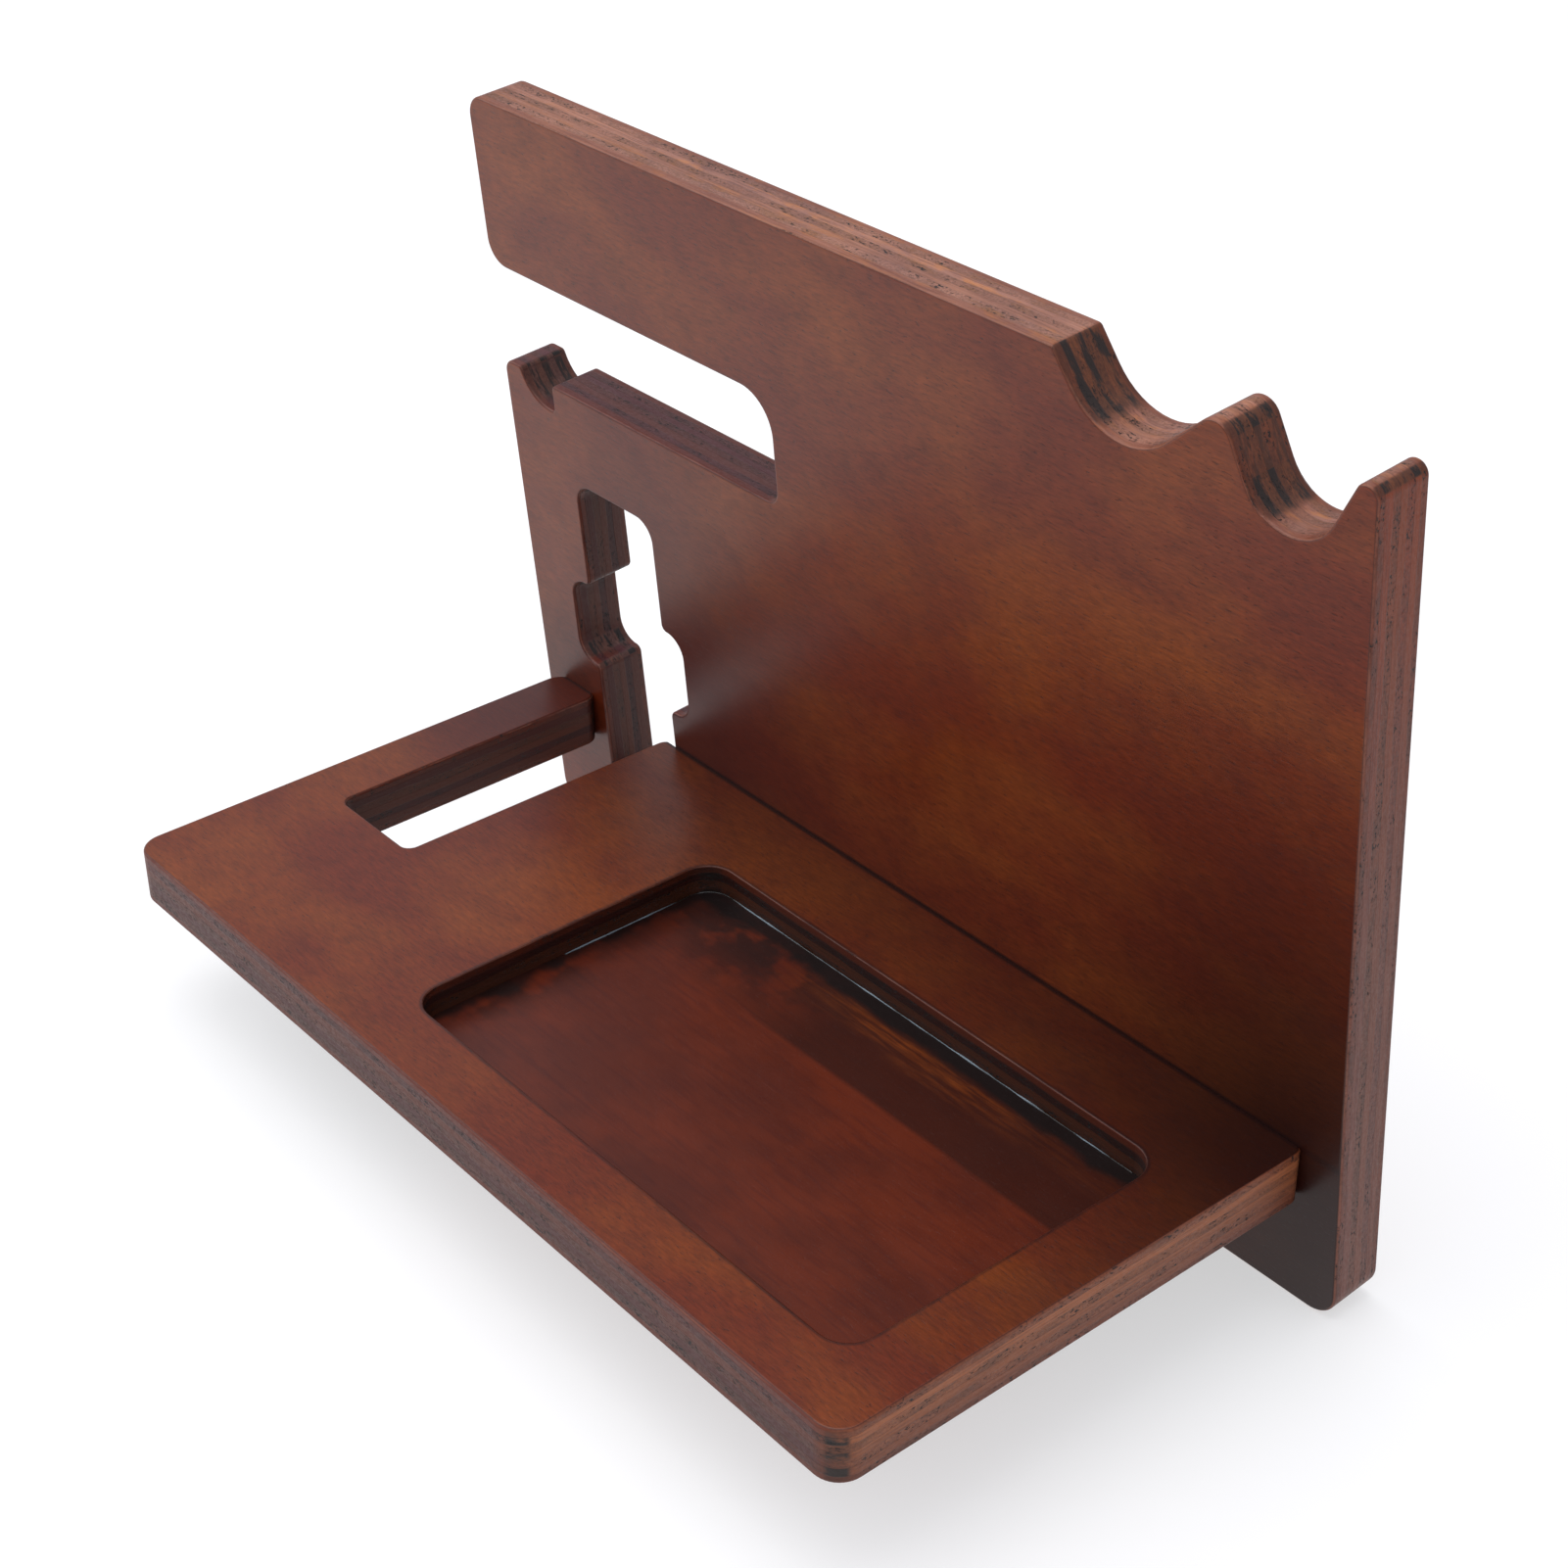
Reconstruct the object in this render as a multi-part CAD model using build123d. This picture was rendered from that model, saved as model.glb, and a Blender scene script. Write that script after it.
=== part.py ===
from build123d import *
import os
from math import cos, radians, sin, tan

os.makedirs("parts", exist_ok=True)

# A stand of two plywood boards and a rib. Millimetres, +Z up, X along the back board's width.
# The origin is on the table, midway along the back board, under the line where tray and back board meet.

# Plywood sheet
SHEET = 15.0
PLY_COUNT = 7
PLY = SHEET / PLY_COUNT
ROUND_OVER = 0.8

# Back board: heights are measured along the board from the tray's top surface
LEAN = 4.9
BACK_WIDTH = 300.0
FOOT_DROP = 47.2
BACK_TOP = 174.7
FOOT_CORNER_R = 8.0

# Watch arm, and the gap under it
ARM_BOTTOM = 127.8
ARM_TIP_TOP_R = 6.0
ARM_TIP_BOTTOM_R = 7.0
GAP_WALL_X = -34.5
GAP_UPPER_R = 11.0
GAP_LOWER_R = 4.0
LEDGE_TOP = 98.4
LEDGE_END_X = -128.7
SMALL_CORNER_R = 1.5

# Small hook at the left end of the ledge
HOOK_FLOOR = 90.5
HOOK_TOP = 99.3
HOOK_THROAT_X = -138.9
HOOK_TOP_X = -142.4
HOOK_THROAT_R = 12.0
HOOK_TIP_R = 3.5
HOOK_INNER_R = 1.0

# Cable cut-out: a shaft with a wider band for a plug
CUTOUT_X = -106.5
SHAFT_WIDTH = 32.3
SHAFT_TOP = 70.8
SHAFT_BOTTOM = -32.0
SHAFT_CORNER_R = 6.0
BAND_WIDTH = 49.0
BAND_TOP = 38.0
BAND_BOTTOM = 12.0
BAND_CORNER_R = 6.0
BAND_NECK_R = 2.2

# Key hooks at the top right: straight flanks blended by round valleys and a round crest
SHOULDER_X = 62.9
VALLEY_1_X = 79.6
VALLEY_1_HEIGHT = 150.5
VALLEY_1_R = 18.0
CREST_X = 109.9
CREST_HEIGHT = 176.8
CREST_R = 4.8
VALLEY_2_X = 127.5
VALLEY_2_HEIGHT = 139.3
VALLEY_2_R = 12.7
END_HOOK_HEIGHT = 183.5
END_HOOK_R = 3.0

# Tray: depths are measured forwards from the back board
TRAY_LEFT_X = -144.0
TRAY_RIGHT_X = 138.9
TRAY_DEPTH = 138.8
TRAY_FRONT_R = 7.0
TRAY_REAR_R = 3.5
SLOT_LEFT_X = -126.5
SLOT_RIGHT_X = -95.0
SLOT_DEPTH = 85.4
SLOT_R = 3.0
FINGER_INNER_R = 5.0
FINGER_OUTER_R = 6.0

# Pocket sunk into the tray
POCKET_LEFT_X = -39.5
POCKET_RIGHT_X = 121.3
POCKET_REAR = 27.4
POCKET_FRONT = 121.2
POCKET_SINK = 8.0
POCKET_R = 8.0
POCKET_RIM_R = 0.4

# Rib that carries the tray
RIB_REACH = 95.0
RIB_TOE_R = 14.0

# Wood screws, 4 x 35 countersunk, and dowels
SCREW_D = 4.0
SCREW_LENGTH = 35.0
SCREW_HEAD_D = 8.0
SCREW_TIP = 5.0
SCREW_CLEARANCE = 0.5
RECESS_SPAN = 4.4
RECESS_WIDTH = 0.9
RECESS_DEPTH = 1.8
TRAY_SCREW_XS = (-75.0, 22.0, 118.0)
TRAY_SCREW_DROP = 7.0
RIB_SCREW_DROP = 31.0
DOWEL_D = 8.0
DOWEL_LENGTH = 28.0
DOWEL_IN_BACK = 10.0
DOWEL_CHAMFER = 0.8
DOWEL_XS = (-27.0, 70.0)
DOWEL_DROP = 7.5

# The lean sets where the boards meet and how high the tray sits
SIDE = BACK_WIDTH / 2
SLOPE = tan(radians(LEAN))
FOOT_CENTRE = (FOOT_DROP - ROUND_OVER) * cos(radians(LEAN)) - ROUND_OVER * sin(radians(LEAN))
TRAY_TOP = FOOT_CENTRE + ROUND_OVER
RIB_HEIGHT = TRAY_TOP - SHEET
BIG = 2 * BACK_WIDTH

# Places: each board is drawn flat with its show face at height 0 and its thickness below
TRAY_PLACE = Plane(origin=(0, 0, TRAY_TOP))
BACK_PLACE = Plane(
    origin=(0, 0, TRAY_TOP),
    x_dir=(1, 0, 0),
    z_dir=(0, -cos(radians(LEAN)), -sin(radians(LEAN))),
)
RIB_PLACE = Plane(origin=(SHEET / 2, 0, 0), x_dir=(0, 1, 0), z_dir=(1, 0, 0))


def outline(corners):
    """A closed flat face through (x, y, radius) corners, each corner rounded by its radius."""
    arcs = []
    for i, (x, y, radius) in enumerate(corners):
        here = Vector(x, y)
        after = corners[(i + 1) % len(corners)]
        to_before = (Vector(*corners[i - 1][:2]) - here).normalized()
        to_after = (Vector(*after[:2]) - here).normalized()
        half_angle = radians(to_before.get_angle(to_after)) / 2
        run = radius / tan(half_angle)
        inset = radius / sin(half_angle) - radius
        middle = here + (to_before + to_after).normalized() * inset
        arcs.append((here + to_before * run, middle, here + to_after * run, radius))
    edges = []
    for i, (start, middle, end, radius) in enumerate(arcs):
        if radius > 0:
            edges.append(Edge.make_three_point_arc(start, middle, end))
        edges.append(Edge.make_line(end, arcs[(i + 1) % len(arcs)][0]))
    return Face(Wire(edges))


def sheet(face):
    """A board cut to a face, with both rims rounded over."""
    board = extrude(face, amount=-SHEET)
    rims = board.faces().filter_by(Plane.XY).edges()
    return fillet(rims, ROUND_OVER)


# Outlines
back_face = outline([
    (-SIDE, -FOOT_DROP, FOOT_CORNER_R),
    (SIDE, -FOOT_DROP, FOOT_CORNER_R),
    (SIDE, END_HOOK_HEIGHT, END_HOOK_R),
    (VALLEY_2_X, VALLEY_2_HEIGHT, VALLEY_2_R),
    (CREST_X, CREST_HEIGHT, CREST_R),
    (VALLEY_1_X, VALLEY_1_HEIGHT, VALLEY_1_R),
    (SHOULDER_X, BACK_TOP, SMALL_CORNER_R),
    (-SIDE, BACK_TOP, ARM_TIP_TOP_R),
    (-SIDE, ARM_BOTTOM, ARM_TIP_BOTTOM_R),
    (GAP_WALL_X, ARM_BOTTOM, GAP_UPPER_R),
    (GAP_WALL_X, LEDGE_TOP, GAP_LOWER_R),
    (LEDGE_END_X, LEDGE_TOP, SMALL_CORNER_R),
    (LEDGE_END_X, HOOK_FLOOR, HOOK_INNER_R),
    (HOOK_THROAT_X, HOOK_FLOOR, HOOK_THROAT_R),
    (HOOK_TOP_X, HOOK_TOP, SMALL_CORNER_R),
    (-SIDE, HOOK_TOP, HOOK_TIP_R),
])
shaft_left = CUTOUT_X - SHAFT_WIDTH / 2
shaft_right = CUTOUT_X + SHAFT_WIDTH / 2
band_left = CUTOUT_X - BAND_WIDTH / 2
band_right = CUTOUT_X + BAND_WIDTH / 2
cutout_face = outline([
    (shaft_left, SHAFT_BOTTOM, SHAFT_CORNER_R),
    (shaft_right, SHAFT_BOTTOM, SHAFT_CORNER_R),
    (shaft_right, BAND_BOTTOM, BAND_NECK_R),
    (band_right, BAND_BOTTOM, BAND_CORNER_R),
    (band_right, BAND_TOP, BAND_CORNER_R),
    (shaft_right, BAND_TOP, BAND_NECK_R),
    (shaft_right, SHAFT_TOP, SHAFT_CORNER_R),
    (shaft_left, SHAFT_TOP, SHAFT_CORNER_R),
    (shaft_left, BAND_TOP, BAND_NECK_R),
    (band_left, BAND_TOP, BAND_CORNER_R),
    (band_left, BAND_BOTTOM, BAND_CORNER_R),
    (shaft_left, BAND_BOTTOM, BAND_NECK_R),
])
tray_rear = SHEET * SLOPE
tray_face = outline([
    (TRAY_LEFT_X, -TRAY_DEPTH, TRAY_FRONT_R),
    (TRAY_RIGHT_X, -TRAY_DEPTH, TRAY_FRONT_R),
    (TRAY_RIGHT_X, tray_rear, TRAY_REAR_R),
    (SLOT_RIGHT_X, tray_rear, TRAY_REAR_R),
    (SLOT_RIGHT_X, -SLOT_DEPTH, SLOT_R),
    (SLOT_LEFT_X, -SLOT_DEPTH, SLOT_R),
    (SLOT_LEFT_X, tray_rear, FINGER_INNER_R),
    (TRAY_LEFT_X, tray_rear, FINGER_OUTER_R),
])
pocket_face = outline([
    (POCKET_LEFT_X, -POCKET_FRONT, POCKET_R),
    (POCKET_RIGHT_X, -POCKET_FRONT, POCKET_R),
    (POCKET_RIGHT_X, -POCKET_REAR, POCKET_R),
    (POCKET_LEFT_X, -POCKET_REAR, POCKET_R),
])
rib_face = outline([
    (-RIB_REACH, 0, RIB_TOE_R),
    (SHEET, 0, 0),
    (SHEET, RIB_HEIGHT + SHEET, 0),
    (-RIB_REACH, RIB_HEIGHT + SHEET, 0),
])

# Boards before drilling
back_board = BACK_PLACE * sheet(back_face - cutout_face)
pocket = extrude(pocket_face, amount=-POCKET_SINK)
tray_board = sheet(tray_face) - pocket
pocket_rim = tray_board.edges().filter_by_position(Axis.Z, 0, 0).filter_by(
    lambda edge: POCKET_LEFT_X <= edge.center().X <= POCKET_RIGHT_X
    and -POCKET_FRONT <= edge.center().Y <= -POCKET_REAR
)
tray_board = fillet(pocket_rim, POCKET_RIM_R)
tray_board = TRAY_PLACE * tray_board
rib_board = RIB_PLACE * sheet(rib_face)

# The tray and rib are trimmed to the leaning face of the back board, and the rib to the tray's underside
behind_front_face = BACK_PLACE * Box(BIG, BIG, BIG, align=(Align.CENTER, Align.CENTER, Align.MAX))
above_rib = Pos(0, 0, RIB_HEIGHT) * Box(BIG, BIG, BIG, align=(Align.CENTER, Align.CENTER, Align.MIN))
tray_board -= behind_front_face
rib_board -= behind_front_face
rib_board -= above_rib

# One screw, head up at height 0, with a cross recess
head_height = (SCREW_HEAD_D - SCREW_D) / 2
shank_height = SCREW_LENGTH - head_height - SCREW_TIP
screw = Pos(0, 0, -head_height / 2) * Cone(SCREW_D / 2, SCREW_HEAD_D / 2, head_height)
screw += Pos(0, 0, -head_height - shank_height / 2) * Cylinder(SCREW_D / 2, shank_height)
screw += Pos(0, 0, -SCREW_LENGTH + SCREW_TIP / 2) * Cone(0, SCREW_D / 2, SCREW_TIP)
for turn in (0, 90):
    screw -= Rot(0, 0, turn) * Box(RECESS_SPAN, RECESS_WIDTH, 2 * RECESS_DEPTH)

# What a screw takes out: a countersink, a clearance hole in the back board and a snug hole beyond
countersink = Pos(0, 0, -head_height / 2) * Cone(SCREW_D / 2, SCREW_HEAD_D / 2, head_height)
clearance_hole = Cylinder(
    (SCREW_D + SCREW_CLEARANCE) / 2, SHEET, align=(Align.CENTER, Align.CENTER, Align.MAX)
)
snug_length = SCREW_LENGTH - SHEET - SCREW_TIP
snug_hole = Pos(0, 0, -SHEET - snug_length / 2) * Cylinder(SCREW_D / 2, snug_length)
snug_hole += Pos(0, 0, -SCREW_LENGTH + SCREW_TIP / 2) * Cone(0, SCREW_D / 2, SCREW_TIP)

# Screws enter square to the back board's rear face
rear_face = Plane(
    origin=BACK_PLACE.origin - BACK_PLACE.z_dir * SHEET,
    x_dir=(-1, 0, 0),
    z_dir=-BACK_PLACE.z_dir,
)
screw_spots = [(x, -TRAY_SCREW_DROP) for x in TRAY_SCREW_XS] + [(0, -RIB_SCREW_DROP)]
screw_places = [rear_face * Pos(-x, height) for x, height in screw_spots]
for place in screw_places:
    back_board -= place * countersink
    back_board -= place * clearance_hole
    tray_board -= place * snug_hole
    rib_board -= place * snug_hole

# Dowels lie in the joint, level with the middle of the tray
dowel = Cylinder(DOWEL_D / 2, DOWEL_LENGTH)
dowel = chamfer(dowel.edges().filter_by(GeomType.CIRCLE), DOWEL_CHAMFER)
dowel_bore = Cylinder(DOWEL_D / 2, DOWEL_LENGTH)
dowel_middle = DOWEL_LENGTH / 2 - DOWEL_IN_BACK
dowel_places = [BACK_PLACE * Pos(x, -DOWEL_DROP, dowel_middle) for x in DOWEL_XS]
for place in dowel_places:
    back_board -= place * dowel_bore
    tray_board -= place * dowel_bore


def split_into_plies(board, place, name):
    """Export a board as its separate veneers, number 1 at the show face."""
    for number in range(PLY_COUNT):
        slab = Box(BIG, BIG, PLY, align=(Align.CENTER, Align.CENTER, Align.MAX))
        ply = board & (place * Pos(0, 0, -number * PLY) * slab)
        export_step(ply, f"parts/{name}_ply_{number + 1}.step")


split_into_plies(back_board, BACK_PLACE, "back")
split_into_plies(tray_board, TRAY_PLACE, "tray")
split_into_plies(rib_board, RIB_PLACE, "rib")
export_step(Compound(children=[place * screw for place in screw_places]), "parts/screws.step")
export_step(Compound(children=[place * dowel for place in dowel_places]), "parts/dowels.step")
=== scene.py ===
# %% [markdown]
# A stained plywood stand: an upright back board with an arm, a ledge, a cut-out and two hooks, and a
# level tray. The real one is cut from 15 mm sheet, thin layers of wood glued with their grain crossing,
# then sanded, stained red-brown and sprayed with a satin varnish. The CAD frame holds every layer as
# its own piece, in the right place, so this script only gives those layers their wood and adds what the
# varnish left on them. We start by loading the frame and keeping its box, which nothing made here may
# grow.

import math
from functools import partial

import bpy
from mathutils import Matrix, Vector


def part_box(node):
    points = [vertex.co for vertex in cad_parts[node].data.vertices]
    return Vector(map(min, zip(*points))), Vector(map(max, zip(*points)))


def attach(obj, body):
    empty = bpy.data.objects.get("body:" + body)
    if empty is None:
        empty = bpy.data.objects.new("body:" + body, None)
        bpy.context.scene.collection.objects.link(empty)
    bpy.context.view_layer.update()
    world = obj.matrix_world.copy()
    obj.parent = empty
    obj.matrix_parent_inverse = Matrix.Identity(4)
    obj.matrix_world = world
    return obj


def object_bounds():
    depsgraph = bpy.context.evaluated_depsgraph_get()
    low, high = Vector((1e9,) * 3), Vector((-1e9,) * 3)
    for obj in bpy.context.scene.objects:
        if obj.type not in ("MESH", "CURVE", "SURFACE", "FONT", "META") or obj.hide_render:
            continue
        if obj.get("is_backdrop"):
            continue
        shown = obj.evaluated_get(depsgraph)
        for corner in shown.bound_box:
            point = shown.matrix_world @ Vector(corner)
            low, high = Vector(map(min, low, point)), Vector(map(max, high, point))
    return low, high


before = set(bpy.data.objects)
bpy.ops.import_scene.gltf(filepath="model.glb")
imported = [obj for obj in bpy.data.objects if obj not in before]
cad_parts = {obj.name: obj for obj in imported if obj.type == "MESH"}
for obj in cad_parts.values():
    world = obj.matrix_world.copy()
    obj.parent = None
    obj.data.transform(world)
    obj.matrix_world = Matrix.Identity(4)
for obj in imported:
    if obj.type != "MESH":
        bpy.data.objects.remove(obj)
cad_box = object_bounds()
bpy.context.scene.view_settings.view_transform = "Standard"  # colours come out as they are chosen
print("nodes:", len(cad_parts), "box:", [round(v, 4) for corner in cad_box for v in corner])

# %% [markdown]
# Colours are easiest to choose as sRGB hex values, but shaders mix light, so they want linear numbers.
# One function turns one into the other. A second one adds a node of any kind: it sets the node's
# properties and its sockets, links the values that are sockets themselves, and returns the output to
# use next. With it, a material reads from top to bottom like a recipe.

# %% Helpers for colours and nodes
MM = 0.001


def linear(code):
    """An sRGB hex colour as linear RGBA."""
    channels = [int(code[i:i + 2], 16) / 255 for i in (1, 3, 5)]
    return [c / 12.92 if c <= 0.04045 else ((c + 0.055) / 1.055) ** 2.4 for c in channels] + [1.0]


def add(tree, kind, *values, out=0, **named):
    """Add a node and return its output named or numbered out.

    values fill the node's live sockets in order. named values are its properties, or else its sockets.
    """
    node = tree.nodes.new(kind)
    for name in [name for name in named if hasattr(node, name)]:
        setattr(node, name, named.pop(name))
    live = [socket for socket in node.inputs if socket.enabled]
    filled = list(zip(live, values))
    filled += [(node.inputs[name.replace("_", " ")], value) for name, value in named.items()]
    for socket, value in filled:
        if isinstance(value, bpy.types.NodeSocket):
            tree.links.new(value, socket)
        elif value is not None:
            socket.default_value = value
    return node.outputs[out] if isinstance(out, str) else [s for s in node.outputs if s.enabled][out]


# Settings that the materials use again and again
MATH = "ShaderNodeMath"
MIX = "ShaderNodeMix"
RANGE = "ShaderNodeMapRange"
TIMES = {"operation": "MULTIPLY"}
PLUS = {"operation": "ADD"}
TIMES_PLUS = {"operation": "MULTIPLY_ADD"}
LESS = {"operation": "SUBTRACT"}
SIZE = {"operation": "ABSOLUTE"}
SMALLER = {"operation": "MINIMUM"}
LARGER = {"operation": "MAXIMUM"}
PAINT = {"data_type": "RGBA"}
SOFT = {"interpolation_type": "SMOOTHSTEP"}
print("helpers ready: white is", linear("#ffffff"))

# %% [markdown]
# The back board leans, so a wood pattern drawn on the room's axes would run through it askew. We
# measure where each board lies from the frame itself: the lean is the tilt of the front layer's big
# flat face, and the heights are the layers' own boxes. Each board then gets a mapping that turns a
# point into distance along the board, depth below its show face, and distance across it.

# %% Measure the boards
PLY_COUNT = 7
FACING_FRONT = -0.9
front_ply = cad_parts["back_ply_1"].data
face_sum = Vector((0, 0, 0))
for triangle in front_ply.polygons:
    if triangle.normal.y < FACING_FRONT:
        face_sum += triangle.normal * triangle.area
lean = math.atan2(-face_sum.z, -face_sum.y)
tray_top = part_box("tray_ply_1")[1].z
sheet = tray_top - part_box("tray_ply_7")[0].z
ply = sheet / PLY_COUNT
boards = {
    "back": {"turn": (-lean, 0, 0), "shift": (0, -tray_top * math.sin(lean), -tray_top * math.cos(lean))},
    "tray": {"turn": (math.pi / 2, 0, 0), "shift": (0, tray_top, 0)},
    "rib": {"turn": (0, 0, -math.pi / 2), "shift": (0, sheet / 2, 0)},
}
print("lean", round(math.degrees(lean), 2), "tray top", round(tray_top, 4), "layer", round(ply, 5))

# %% [markdown]
# Where does the camera stand? The view is from the front right, about thirty degrees above the table,
# through a longish lens, so the lines of the boards converge only a little. The camera's place is given
# in metres from the stand's own origin, and it looks along a direction made from an azimuth and an
# elevation.

# %% Camera
AZIMUTH = math.radians(50.33)
ELEVATION = math.radians(32.18)
ROLL = math.radians(-0.47)
CAMERA_PLACE = (0.4461, -0.4055, 0.4570)
SENSOR_WIDTH = 36
FOCAL_LENGTH = 65.13
camera_data = bpy.data.cameras.new("camera")
camera_data.sensor_width = SENSOR_WIDTH
camera_data.lens = FOCAL_LENGTH
camera = bpy.data.objects.new("camera", camera_data)
bpy.context.collection.objects.link(camera)
looking = Vector((
    -math.sin(AZIMUTH) * math.cos(ELEVATION),
    math.cos(AZIMUTH) * math.cos(ELEVATION),
    -math.sin(ELEVATION),
))
turned = looking.to_track_quat("-Z", "Y").to_matrix().to_4x4() @ Matrix.Rotation(ROLL, 4, "Z")
camera.matrix_world = Matrix.Translation(CAMERA_PLACE) @ turned
bpy.context.scene.camera = camera
print("camera looks along", [round(v, 3) for v in looking])

# %% [markdown]
# The studio is a white light table under a big soft light, as for a product picture. A satin varnish
# shows its surroundings, so the white all round the stand makes the pale veil on the board's upper
# left. The table glows a little, which keeps the stand's shadow faint. It is opal acrylic, sanded matt,
# so it scatters light and shows no highlight.

# %% Floor and lights
FLOOR_HALF = 4.0
TABLE_ROUGHNESS = 0.9
TABLE_GLOW = 0.55
SKY_STRENGTH = 0.78
floor_mesh = bpy.data.meshes.new("floor")
corners = [(x * FLOOR_HALF, y * FLOOR_HALF, 0) for x, y in ((-1, -1), (1, -1), (1, 1), (-1, 1))]
floor_mesh.from_pydata(corners, [], [(0, 1, 2, 3)])
floor = bpy.data.objects.new("floor", floor_mesh)
bpy.context.collection.objects.link(floor)
table = bpy.data.materials.new("white_acrylic_light_table")
table.use_nodes = True
table_shader = table.node_tree.nodes["Principled BSDF"]
table_shader.inputs["Base Color"].default_value = linear("#b4b4b4")
table_shader.inputs["Roughness"].default_value = TABLE_ROUGHNESS
table_shader.inputs["Emission Color"].default_value = linear("#ffffff")
table_shader.inputs["Emission Strength"].default_value = TABLE_GLOW
floor_mesh.materials.append(table)
floor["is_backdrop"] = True

world = bpy.data.worlds.new("studio")
bpy.context.scene.world = world
world.use_nodes = True
world.node_tree.nodes["Background"].inputs["Color"].default_value = linear("#f3f5ff")
world.node_tree.nodes["Background"].inputs["Strength"].default_value = SKY_STRENGTH
# name: (place, width in metres, power in watts)
SOFTBOXES = {"overhead": ((-0.2, -0.2, 1.6), 1.4, 14), "left": ((-1.3, -0.9, 0.9), 1.0, 7)}
AIM = Vector((0, 0, 0.08))
for name, (place, size, power) in SOFTBOXES.items():
    light = bpy.data.lights.new(name, "AREA")
    light.size = size
    light.energy = power
    box = bpy.data.objects.new(name, light)
    bpy.context.collection.objects.link(box)
    facing = (AIM - Vector(place)).to_track_quat("-Z", "Y")
    box.matrix_world = Matrix.Translation(place) @ facing.to_matrix().to_4x4()
print("lights:", list(SOFTBOXES))

# %% [markdown]
# Stained plywood. The stain is a red-brown dye, brushed on by hand: it lies thin and orange where the
# wood is dense, turns wine where it is thick, and goes nearly black in open pores. The patterns follow
# in two groups, for every board and for the pocket. Each is given by its real size: how wide one
# feature is in millimetres, and how many times longer it is along the board, through its depth and
# across it. Birch pores and fibres are only 0.1 to 0.3 mm wide, too fine to show, so the grain, the
# pores and the fibres are drawn as coarse as they need.

# %% Colours and sizes of the wood's patterns
STAIN_AND_SHADE = {
    "red_brown": "#60220c",
    "orange_brown": "#7c3d11",
    "wine": "#3b0e0b",
    # Painted shade
    "deep_shade": "#1d0503",
    "pore": "#240b08",
    "open_grain": "#1b120f",
    "rim_pale": "#a5705a",
    "top_tan": "#b57c62",
    "top_orange": "#b8743f",
    "top_plum": "#7c5348",
    "hook_brown": "#6b3a1c",
    "side_orange": "#772c05",
    # hollow_ledge, hollow_wall and hollow_arc paint the shade under the arm and in the slot
    "side_mauve": "#6a3f34",
    "hollow_ledge": "#54292b",
    "hollow_wall": "#3a100c",
    "hollow_arc": "#6b4238",
    "tray_side_tan": "#92532f",
    "tray_side_wine": "#5c2c1e",
    "tray_front": "#4d201c",
    "tray_front_low": "#3a1a17",
    "pocket_red": "#5e210b",
    "pocket_brown": "#4e1a0a",
    "pocket_band": "#2a0c05",
    "pocket_streak": "#7f3c0e",
    "pocket_black": "#100b0b",
}
STAIN_AND_SHADE = {name: linear(code) for name, code in STAIN_AND_SHADE.items()}

# name: (width in mm, (times longer along, in depth, across), detail, roughness)
PATTERNS = {
    "patches": (44, (1.8, 1.6, 1), 5, 0.55),
    "mottle": (9, (1.8, 1, 1), 4, 0.6),
    "grain": (0.8, (6, 1, 1), 3, 0.75),
    "pores": (0.5, (4.5, 1, 1), 2, 0.5),
    "ripple": (22, (1, 1, 1), 1, 0.5),
    "waver": (11, (2.5, 0.4, 2.5), 2, 0.5),
    "fibres_along": (0.6, (26, 1, 1), 4, 0.65),
    "fibres_across": (0.6, (1, 1, 26), 4, 0.65),
    "soaked": (5, (2.0, 0.5, 2.0), 4, 0.7),
    "pits": (0.85, (1.5, 0.8, 1.5), 3, 0.7),
    "pitted": (9, (1, 1, 1), 2, 0.5),
    "rubbed": (6, (3, 1, 1), 3, 0.6),
}
POCKET_PATTERNS = {
    "cloud": (26, (1.6, 1, 1), 4, 0.6),
    "edge": (12, (2.5, 1, 1), 3, 0.6),
    "blots": (13, (1.3, 1, 1), 3, 0.6),
    "router": (1.1, (12, 1, 1), 4, 0.65),
}
print("patterns:", len(PATTERNS), "on every board and", len(POCKET_PATTERNS), "in the pocket")

# %% [markdown]
# Layers 1, 3, 5 and 7 run their fibres along the board and layers 2, 4 and 6 across it. Where a cut
# runs along the fibres the wood stays smooth and takes little stain. Where it crosses them, and most of
# all on the slanted flanks of the hooks, it shows the open ends of the pores, which drink stain and
# turn nearly black. So one rule makes every edge: find the layer from the depth, and compare the
# surface's direction with that layer's fibres. It could be painted edge by edge, but then the bands on
# the round hooks would never turn with the surface.
#
# To the eye the varnish gives the faces a soft sheen with a pale veil of the sky, and leaves the cut
# edges duller, because their open grain drank it. Pores and pits are dents in it, and the layers'
# fibres fine ridges.

# %% Plywood
LAYER_WAVER = 0.16
SPECULAR_LEVEL = 0.32
ROUGHNESS_SPREAD = 0.06
EDGE_SMOOTHEST, EDGE_ROUGHEST = 0.40, 0.55
PIT_DEPTH = 0.15 * MM
PORE_DEPTH = 0.03 * MM
GRAIN_HEIGHT = 0.012 * MM
RIPPLE_HEIGHT = 0.05 * MM
RIDGE_HEIGHT = 0.05 * MM


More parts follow.
